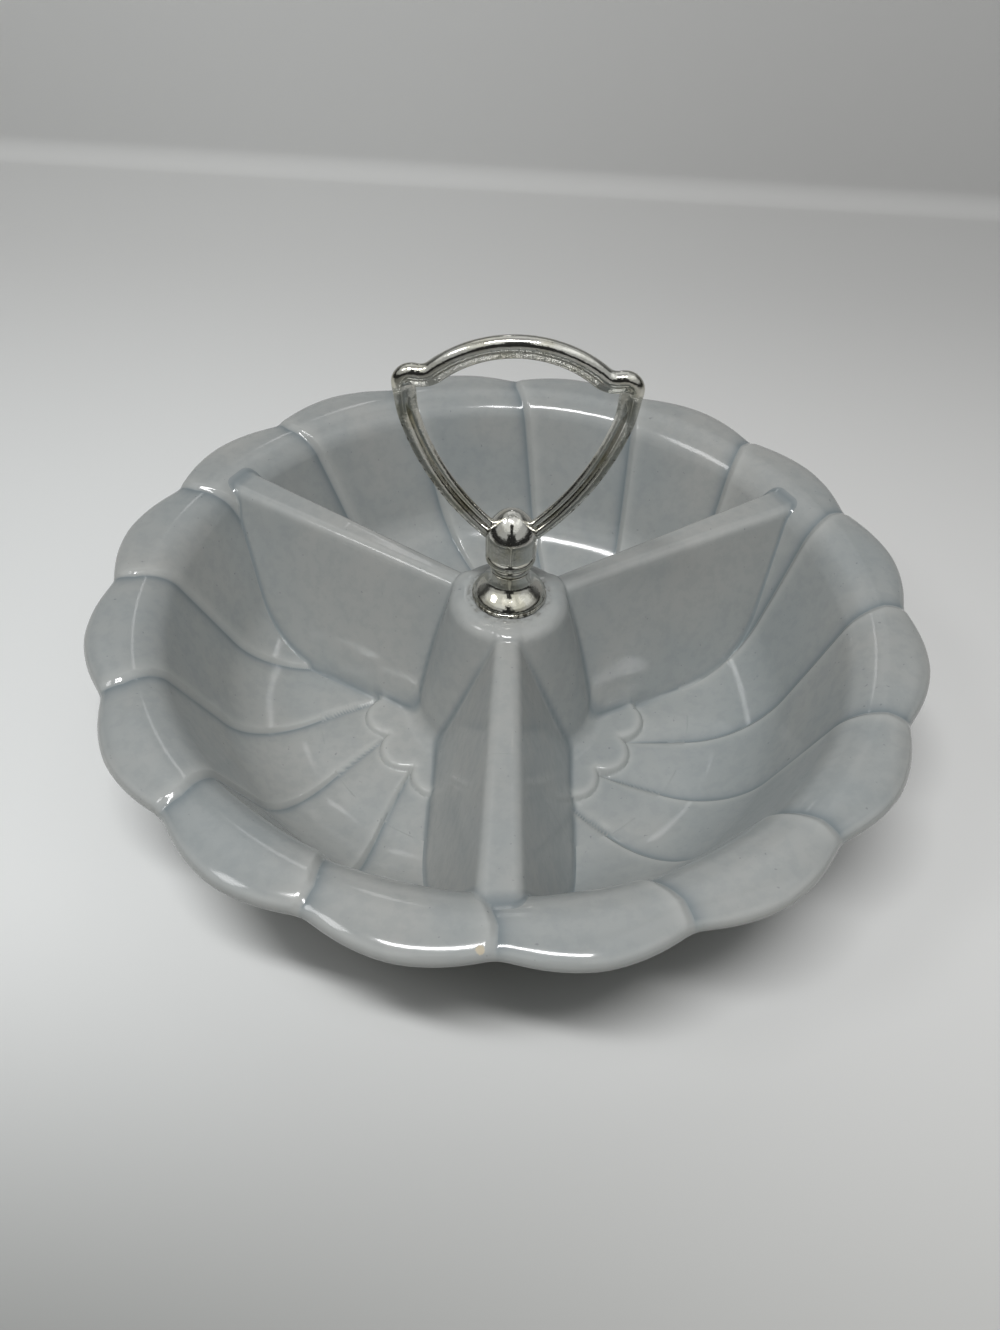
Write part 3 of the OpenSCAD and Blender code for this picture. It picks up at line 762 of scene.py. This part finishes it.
core_r = inside_start
base_seat_r = 14.0
flower_out_r = 55.0
before_foot = 1.0
past_foot = 6.0
core_rows = np.concatenate([
    np.linspace(hole_r, base_seat_r, 8)[:-1], np.linspace(base_seat_r, fill_starts_r, 46)[:-1],
    np.linspace(fill_starts_r, flower_out_r, 40)[:-1], np.linspace(flower_out_r, core_r, 14), [core_r]])
ridge_flat = ridge_flat_half(core_rows)
at_foot = np.full(len(core_rows), divider_foot_half)
core_stops = [ridge_flat, ridge_flat + ridge_edge_r, at_foot - before_foot, at_foot + past_foot]
core_bearing = whole_fan(core_rows, core_stops, [12, 28, 44, 52])
core_x = core_rows[:, None] * np.cos(core_bearing)
core_y = core_rows[:, None] * np.sin(core_bearing)
core_z, core_pooled, core_thin, _, core_dark_ring = ceramic_top(core_x, core_y)
core_z[-1] -= skirt_depth

# Underneath, the post and the dividers are hollow, because slip-cast ceramic keeps an even wall. The
# post's roof is thicker, and has the hole that the screw goes up through.
hollow_top_h = 51.0
hollow_top_half = 1.2
hollow_top_drop = 1.2
hollow_foot_half = 20.9
hollow_out_r = 65.0
hollow_end_slope = 12.0
post_roof_t = 7.0
ceiling_h = post_h - post_roof_t
ceiling_r = 11.0
ceiling_edge_r = 14.0
ceiling_edge_drop = 1.0
cone_top_r = 15.2
cone_top_drop = 4.0
cone_foot_r = 26.0
cone_foot_step = 0.6


def ceramic_under(x, y):
    """Height of the underside: flat, with a hollow cone under the post, and under each divider a
    hollow with straight sloping sides and a steep end. The highest of them counts."""
    r = np.hypot(x, y)
    hollow_w = hollow_foot_half - hollow_top_half
    height = np.full(r.shape, under_h)
    for bearing in divider_bearings:
        along = x * math.cos(bearing) + y * math.sin(bearing)
        across = np.abs(-x * math.sin(bearing) + y * math.cos(bearing))
        past = np.clip((across - hollow_top_half) / hollow_w, 0, 1.2)
        roof = hollow_top_h - (hollow_top_h - under_h) * past - hollow_top_drop * (1 - past)
        end = under_h + (hollow_out_r - along) * hollow_end_slope
        height = np.maximum(height, np.where(along > 0, np.minimum(roof, end), under_h))
    cone = np.interp(
        r, [ceiling_r, ceiling_edge_r, cone_top_r, cone_foot_r, cone_foot_r + cone_foot_step],
        [ceiling_h, ceiling_h - ceiling_edge_drop, ceiling_h - cone_top_drop, floor_h, under_h])
    return np.maximum(height, cone)


under_rows = np.concatenate([
    [core_r], np.linspace(core_r - 1, 60, 14), np.linspace(58, 16, 26), np.linspace(15, hole_r, 8)])
under_stops = [np.full(len(under_rows), stop) for stop in (hollow_top_half, 12.0, 21.0, 24.0)]
under_bearing = whole_fan(under_rows, under_stops, [6, 26, 40, 46])
under_x = under_rows[:, None] * np.cos(under_bearing)
under_y = under_rows[:, None] * np.sin(under_bearing)
under_z = ceramic_under(under_x, under_y)
core_points = np.concatenate([np.stack([core_x, core_y, core_z], -1),
                              np.stack([under_x, under_y, under_z], -1)])
no_mark = np.zeros(under_z.shape)
add_skin("dish_core", core_points, glaze, "dish", marks={
    "pooled": np.concatenate([core_pooled, no_mark]),
    "thin": np.concatenate([core_thin, no_mark]),
    "dark_ring": np.concatenate([core_dark_ring, no_mark]),
    "unglazed": np.zeros(core_points.shape[:2])})

# Past the floor, each divider climbs the wall and dies into the band below the rim. Its skin dips a
# hair under the bowl's beyond its own feet, so the two meet without a step.
sunk_w_share = 0.97
sunk_depth = 2.5
seam_blend = 0.6
divider_lap = 2.0
divider_sinks_r = 100.0
divider_out_r = 126.0
past_side = 0.5
past_fill = 7.5
divider_rows = np.concatenate([
    np.linspace(core_r - divider_lap, divider_sinks_r, 50)[:-1],
    np.linspace(divider_sinks_r, divider_out_r, 66)])
ridge_flat = ridge_flat_half(divider_rows)
floor_there = bowl_height(divider_rows, np.zeros(len(divider_rows)))
ridge_top = np.interp(divider_rows, [divider_in_r, band_in_r], [ridge_in_h, ridge_out_h])
side_share = np.clip((ridge_top - floor_there) / (ridge_top - floor_h), 0, 1)
foot_there = ridge_flat + ridge_edge_r + (divider_foot_half - ridge_flat - ridge_edge_r) * side_share
divider_stops = [ridge_flat, ridge_flat + ridge_edge_r, foot_there + past_side, foot_there + past_fill]
divider_fan = fan(divider_rows, divider_stops, [60, 60, 60, 60], [5, 12, 18, 16, 1])[:, :-1]
across_fan = np.concatenate([-divider_fan[:, :0:-1], divider_fan], 1)
names = ("front", "right", "left")
for name, middle in zip(names, divider_bearings):
    bearing = across_fan + middle
    x, y = divider_rows[:, None] * np.cos(bearing), divider_rows[:, None] * np.sin(bearing)
    z, pooled, thin, own, _ = ceramic_top(x, y)
    z -= (1 - own) * seam_dip
    z -= np.clip((core_r + seam_blend - divider_rows) / seam_blend, 0, 1)[:, None] * seam_dip
    z[:, [0, -1]] -= skirt_depth
    z[[0, -1]] -= skirt_depth
    sunk_bearing = across_fan[:, [-1, 0]] * sunk_w_share + middle
    sunk_x = divider_rows[:, None] * np.cos(sunk_bearing)
    sunk_y = divider_rows[:, None] * np.sin(sunk_bearing)
    sunk_z = bowl_height(divider_rows, np.full(len(divider_rows), sunk_depth))
    sunk_z = np.repeat(sunk_z[:, None], 2, 1)
    points = np.concatenate([np.stack([x, y, z], -1), np.stack([sunk_x, sunk_y, sunk_z], -1)], 1)
    pad = np.zeros((len(divider_rows), 2))
    add_skin("divider_" + name, points, glaze, "dish", rows_close=False, marks={
        "pooled": np.concatenate([pooled, pad], 1), "thin": np.concatenate([thin, pad], 1),
        "unglazed": np.zeros(points.shape[:2])})

# The loop and hub are one die casting with an old, slightly yellow plate. A round bead with a thin
# fin inside it makes the arch and the ears, and a flat band, a groove and a rib make the legs.
loop_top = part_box("handle")[1].z / millimetre
loop_half_w = 36.5
arch_w = 7.0
arch_r = 37.2
ear_drop = 16.0
ear_r = 2.6
step_r = 6.8
leg_r = 90.0
leg_w = 6.4
leg_shift = 0.8
bead_r = 2.5
fin_t = 2.2
band_t = 3.6
band_w = 3.4
rib_r = 1.3
band_corner_share = 0.38
band_crown = 0.12
band_crown_half = 0.1
groove_in = 0.05
groove_half_share = 0.35
fade_l = 11.0
hub_r = 8.5
hub_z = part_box("handle")[0].z / millimetre
nose_z = hub_z + 7.5
nose_h = 9.0


def crossing(a, r_a, b, r_b):
    """The point at r_a from a and r_b from b, on the left of the way from a to b, by the rule of
    cosines."""
    a, b = np.asarray(a, float), np.asarray(b, float)
    apart = np.linalg.norm(b - a)
    along = (r_a ** 2 - r_b ** 2 + apart ** 2) / 2 / apart
    aside = math.sqrt(r_a ** 2 - along ** 2)
    way = (b - a) / apart
    return a + along * way + aside * np.array([-way[1], way[0]])


def bearing_to(a, b):
    """Direction from one point of the loop's plane to another, in degrees."""
    return math.degrees(math.atan2(b[1] - a[1], b[0] - a[0]))


def stations(centre, r, start, end, count, turned=0.0, fade=None):
    """Stations of the bar along an arc, as [station, (x, z, bearing outwards, share of the leg)]."""
    angle = np.linspace(start, end, count + 1)[1:]
    share = np.zeros(count) if fade is None else np.clip((start - angle) / fade, 0, 1)
    return np.stack([centre[0] + r * np.cos(np.radians(angle)),
                     centre[1] + r * np.sin(np.radians(angle)), angle + turned, share], 1)


arch_c = (0.0, loop_top - arch_w / 2 - arch_r)
ear_c = (loop_half_w - arch_w / 2 - ear_r, loop_top - ear_drop)
leg_end = (hub_r - leg_w / 2 - leg_shift, nose_z)
step_c = crossing(arch_c, arch_r + step_r, ear_c, ear_r + step_r)
leg_c = crossing(leg_end, leg_r, ear_c, leg_r - ear_r)
arch_end = bearing_to(arch_c, step_c)
ear_start, ear_end = bearing_to(ear_c, step_c), bearing_to(leg_c, ear_c)
fade_angle = math.degrees(fade_l / leg_r)
right_half = np.concatenate([
    [[0, loop_top - arch_w / 2, 90, 0]],
    stations(arch_c, arch_r, 90, arch_end, 34),
    stations(step_c, step_r, arch_end + 180, ear_start + 180, 12, turned=180),
    stations(ear_c, ear_r, ear_start, ear_end, 26),
    stations(leg_c, leg_r, ear_end, bearing_to(leg_c, leg_end), 70, fade=fade_angle)])
left_half = right_half[:0:-1] * [-1, 1, 1, 1]
left_half[:, 2] = 180 - left_half[:, 2]
bar = np.concatenate([left_half, right_half])


def outline(points, count):
    """Points evenly spaced by length along a closed outline, from its first point round."""
    points = np.asarray(points, float)
    closed = np.concatenate([points, points[:1]])
    along = np.concatenate([[0], np.cumsum(np.linalg.norm(np.diff(closed, axis=0), axis=1))])
    even = np.linspace(0, along[-1], count, endpoint=False)
    return np.stack([np.interp(even, along, closed[:, k]) for k in (0, 1)], 1)


def mirrored(half):
    """A closed section from its half above the middle line."""
    half = np.asarray(half, float)
    return np.concatenate([half, half[::-1] * [1, -1]])


bead = arc(arch_w / 2 - bead_r, 0, bead_r, 3, 138, 14)
fin = arc(fin_t / 2 - arch_w / 2, 0, fin_t / 2, 90, 177, 7)
arch_section = outline(mirrored(np.concatenate([bead, fin])), 64)
side = band_t / 2
corner = band_t * band_corner_share
leg_out = leg_w / 2 + leg_shift
band_round = arc(leg_out - corner, side - corner, corner, 0, 90, 5)
band_inner = arc(leg_out - band_w + corner, side - corner, corner, 90, 180, 5)
rib = arc(leg_out - leg_w + rib_r, 0, rib_r, 60, 177, 9)
leg_section = outline(mirrored(np.concatenate([
    [[leg_out + band_crown, band_crown_half]], band_round, band_inner,
    [[leg_out - band_w - groove_in, rib_r * groove_half_share]], rib])), 64)
leg_share = bar[:, 3][:, None, None]
blend = leg_share * leg_share * (3 - 2 * leg_share)
section = arch_section[None] * (1 - blend) + leg_section[None] * blend
out_x, out_z = np.cos(np.radians(bar[:, 2])), np.sin(np.radians(bar[:, 2]))
loop_points = np.stack([bar[:, 0][:, None] + out_x[:, None] * section[..., 0],
                        section[..., 1],
                        bar[:, 1][:, None] + out_z[:, None] * section[..., 0]], -1)

plate, tree, shader = new_material("yellowed_plate")
plate_bright = (0.64, 0.63, 0.59, 1)
plate_stained = (0.42, 0.39, 0.26, 1)
plate_pitted = (0.07, 0.065, 0.05, 1)
stain = patches(tree, Scale=70, Detail=5, From=0.44, To=0.68, Amount=0.5)
colour = mix_colour(tree, stain, plate_bright, plate_stained)
pits = patches(tree, Scale=1300, Detail=2, From=0.66, To=0.74, Amount=0.8)
# These patches break up the worn mark, which is wear on the legs and the base's rim and, on the arch,
# partly a painted dark edge.
wear_and_dark_edge_patches = patches(tree, Scale=620, Detail=5, From=0.50, To=0.57, Amount=0.9)
pits = maths(tree, "MAXIMUM", pits, maths(tree, "MULTIPLY", attribute(tree, "worn"), wear_and_dark_edge_patches))
colour = mix_colour(tree, pits, colour, plate_pitted)
tree.links.new(colour, shader.inputs["Base Color"])
shader.inputs["Metallic"].default_value = 1.0
rough = maths(tree, "MULTIPLY_ADD", patches(tree, "Noise", Scale=240, Detail=4), 0.12, 0.04)
tree.links.new(maths(tree, "MULTIPLY_ADD", pits, 0.4, rough), shader.inputs["Roughness"])
roughen(tree, shader, Scale=380, Detail=3, Strength=0.35, Height=0.0003)
leg_worn_in = 0.6
# Wear darkens the plate near the legs' outer edges. On the arch the mark runs only along the upper back
# edge of the bead: partly wear, partly a painted dark edge standing for a dark reflection there.
arch_dark_edge_at = bead_r * 0.85
arch_dark_edge_w = 0.4
from_edge = section[..., 0].max(1, keepdims=True) - section[..., 0]
leg_worn = np.exp(-((from_edge - leg_worn_in) / leg_worn_in) ** 2)
arch_wear_and_dark_edge = np.exp(-((section[..., 1] - arch_dark_edge_at) / arch_dark_edge_w) ** 2) * (section[..., 0] > 0)
worn = arch_wear_and_dark_edge + (leg_worn - arch_wear_and_dark_edge) * blend[..., 0]
add_skin("handle_loop", loop_points, plate, "handle", rows_close=False,
         marks={"worn": worn})


def turned_points(profile, count):
    """Grid of points from a side view turned round the post's axis, [row, column, (x, y, z)]."""
    profile = np.asarray(profile, float)
    angle = np.linspace(0, 2 * math.pi, count, endpoint=False)
    return np.stack([profile[:, :1] * np.cos(angle), profile[:, :1] * np.sin(angle),
                     np.repeat(profile[:, 1:], count, 1)], -1)


# The hub is the foot of that casting: a barrel with a pointed nose between the legs, a fine casting
# seam down its front, and a tapped hole from below for the screw.
tap_r = 2.3
grip_h = 10.0
hub_edge = 0.5
hub_foot_inset = 1.2
axis_r = 0.05
nose_round = 1.1
nose_point = 1.5
seam_w = 0.35
seam_depth = 0.18
nose_angle = np.linspace(0, math.pi / 2, 26)
nose = np.stack([hub_r * np.cos(nose_angle) ** nose_round,
                 nose_z + nose_h * np.sin(nose_angle) ** nose_point], 1)
nose[-1, 0] = axis_r
hub_profile = np.concatenate([
    [[axis_r, hub_z + grip_h + 1], [tap_r, hub_z + grip_h], [tap_r, hub_z],
     [hub_r - hub_foot_inset, hub_z]],
    arc(hub_r - hub_edge, hub_z + hub_edge, hub_edge, -90, 0, 5),
    np.linspace((hub_r, hub_z + 1), (hub_r, nose_z), 8)[:-1], nose])
hub_points = turned_points(hub_profile, 96)
on_front = (hub_points[..., 1] < 0) & (hub_points[..., 2] < nose_z)
seam = np.exp(-(hub_points[..., 0] / seam_w) ** 2) * on_front
hub_points[..., 1] -= seam_depth * seam
add_skin("handle_hub", hub_points, plate, "handle", rows_close=False)

# The base is turned from the same plated metal: a flange with a domed skirt that flares down from a
# narrow neck. It sits on the cushion on top of the post, and the screw clamps it there.
base_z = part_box("base_ferrule")[0].z / millimetre
base_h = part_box("base_ferrule")[1].z / millimetre - base_z
base_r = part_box("base_ferrule")[1].x / millimetre
neck_r = 6.5
bore_r = 2.75
recess_r = 11.0
recess_h = 2.0
recess_edge = 0.3
flange_h = 1.5
flange_step = 0.3
flange_foot_r = 0.5
flange_top_r = 0.3
neck_edge = 0.2
base_worn_w = 0.7
flare_middle_share = 0.415
flare_share = 0.102
flare_share_at = np.linspace(flange_h / base_h, 0.97, 40)
flare = 1 / (1 + np.exp((flare_share_at - flare_middle_share) / flare_share))
dome_r = base_r - flange_step
dome = np.stack([neck_r + (dome_r - neck_r) * flare / flare[0], base_h * flare_share_at], 1)
base_profile = np.concatenate([
    [(recess_r, recess_h), (recess_r, recess_edge), (recess_r + recess_edge, 0)],
    arc(base_r - flange_foot_r, flange_foot_r, flange_foot_r, -90, 0, 6),
    arc(base_r - flange_top_r, flange_h - flange_top_r, flange_top_r, 0, 80, 4),
    [(dome_r - 0.05, flange_h - 0.08)], dome,
    [(neck_r, base_h - neck_edge), (neck_r - neck_edge, base_h), (bore_r, base_h), (bore_r, recess_h)]])
base_profile[:, 1] += base_z
base_points = turned_points(base_profile, 96)
from_edge = base_r - np.hypot(base_points[..., 0], base_points[..., 1])
add_skin("base_turned", base_points, plate, "base_ferrule", marks={
    "worn": np.exp(-(from_edge / base_worn_w) ** 2)})

# The collar is a turned ring of two beads, the upper one larger, between the base's neck and the hub.
# Its ends are a little narrower, which leaves a dark joint above and below it.
collar_z = base_z + base_h
collar_h = hub_z - collar_z
collar_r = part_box("collar")[1].x / millimetre
upper_r, lower_r = collar_h * 0.3, collar_h * 0.2
joint_in = 0.4
collar_profile = np.concatenate([
    [(bore_r, 0), (neck_r - joint_in, 0), (neck_r, 0.15)],
    arc(collar_r - upper_r - (upper_r - lower_r), lower_r, lower_r, -80, 62, 12),
    arc(collar_r - upper_r, collar_h - upper_r, upper_r, -62, 80, 16),
    [(neck_r, collar_h - 0.1), (neck_r - joint_in, collar_h), (bore_r, collar_h)]])
collar_profile[:, 1] += collar_z
add_skin("collar_turned", turned_points(collar_profile, 96), plate, "collar")

# The cushion is a soft black rubber washer in the base's recess. It and the pieces after it are plain
# and bought in, so their own solids stay and get a finish.


def finish_node(node, material):
    """Gives a CAD node's object a material in place of its own."""
    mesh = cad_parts[node].data
    mesh.materials.clear()
    mesh.materials.append(material)


def plain_finish(name, low, high, scale, roughness, metallic):
    """A finish whose colour and roughness vary a little, by patches of a scale."""
    material, tree, shader = new_material(name)
    vary = patches(tree, Scale=scale, Detail=4, From=0.3, To=0.7)
    tree.links.new(mix_colour(tree, vary, low, high), shader.inputs["Base Color"])
    tree.links.new(maths(tree, "MULTIPLY_ADD", vary, 0.15, roughness), shader.inputs["Roughness"])
    shader.inputs["Metallic"].default_value = metallic
    roughen(tree, shader, Scale=scale * 4, Height=0.0001)
    return material


rubber = plain_finish("black_rubber", (0.02, 0.02, 0.02, 1), (0.04, 0.04, 0.04, 1), 400, 0.6, 0.0)
finish_node("base_cushion", rubber)

# The fibre washer is punched from reddish sheet, and keeps the steel off the ceramic.
fibre = plain_finish("red_fibre", (0.16, 0.07, 0.04, 1), (0.24, 0.11, 0.06, 1), 300, 0.7, 0.0)
finish_node("fibre_washer", fibre)

# The steel washer and the slotted screw have a dull zinc plate. The screw goes up through the dish,
# base and collar into the hub, and holds them all.
zinc = plain_finish("dull_zinc", (0.42, 0.42, 0.41, 1), (0.58, 0.58, 0.56, 1), 250, 0.3, 1.0)
finish_node("steel_washer", zinc)
finish_node("clamp_screw", zinc)
